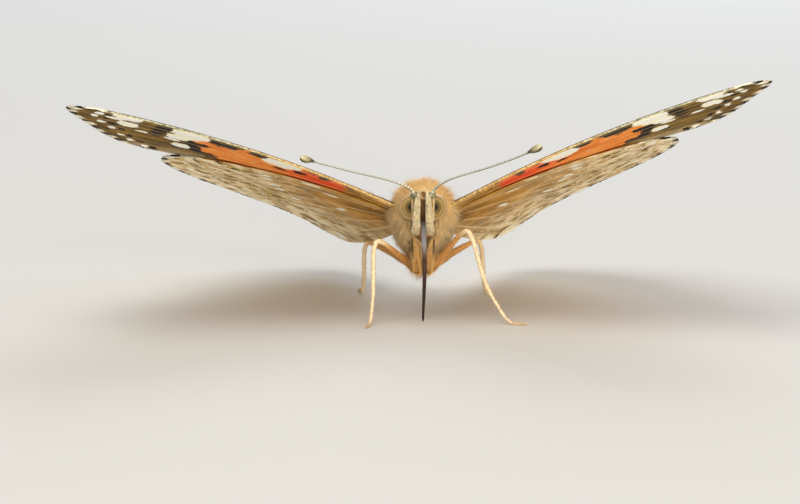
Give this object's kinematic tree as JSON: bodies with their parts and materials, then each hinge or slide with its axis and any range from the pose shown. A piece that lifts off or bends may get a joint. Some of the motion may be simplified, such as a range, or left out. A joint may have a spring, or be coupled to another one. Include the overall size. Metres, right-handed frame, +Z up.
{
  "type": "butterfly",
  "caption": "Still life-size butterfly standing on its legs with half-raised broad wings, clubbed antennae and its tongue let down.",
  "frame": {"origin": "middle of the floor under the part's outline, at the level of the feet's soles", "axes": "+Z up, +X to the butterfly's own left across the wings, -Y the way the head faces"},
  "size_m": [0.053, 0.0368, 0.0197],
  "materials": {
    "fur": "soft tan and orange hair-like scales, matte",
    "wing_scales": "powdery wing scales, matte with a faint sheen",
    "limb": "cream scales over brown chitin, matte",
    "horn": "dark brown chitin, satin",
    "eye": "olive brown compound eye, satin gloss"
  },
  "bodies": {
    "root": {"thorax": "fur", "abdomen": "fur", "head": "fur", "proboscis": "horn", "eye_left": "eye", "eye_right": "eye", "antenna_left": "horn", "antenna_right": "horn", "palp_left": "limb", "palp_right": "limb", "foreleg_left": "limb", "foreleg_right": "limb", "midleg_left": "limb", "midleg_right": "limb", "hindleg_left": "limb", "hindleg_right": "limb", "forewing_left": "wing_scales", "forewing_right": "wing_scales", "hindwing_left": "wing_scales", "hindwing_right": "wing_scales"}
  },
  "joints": []
}
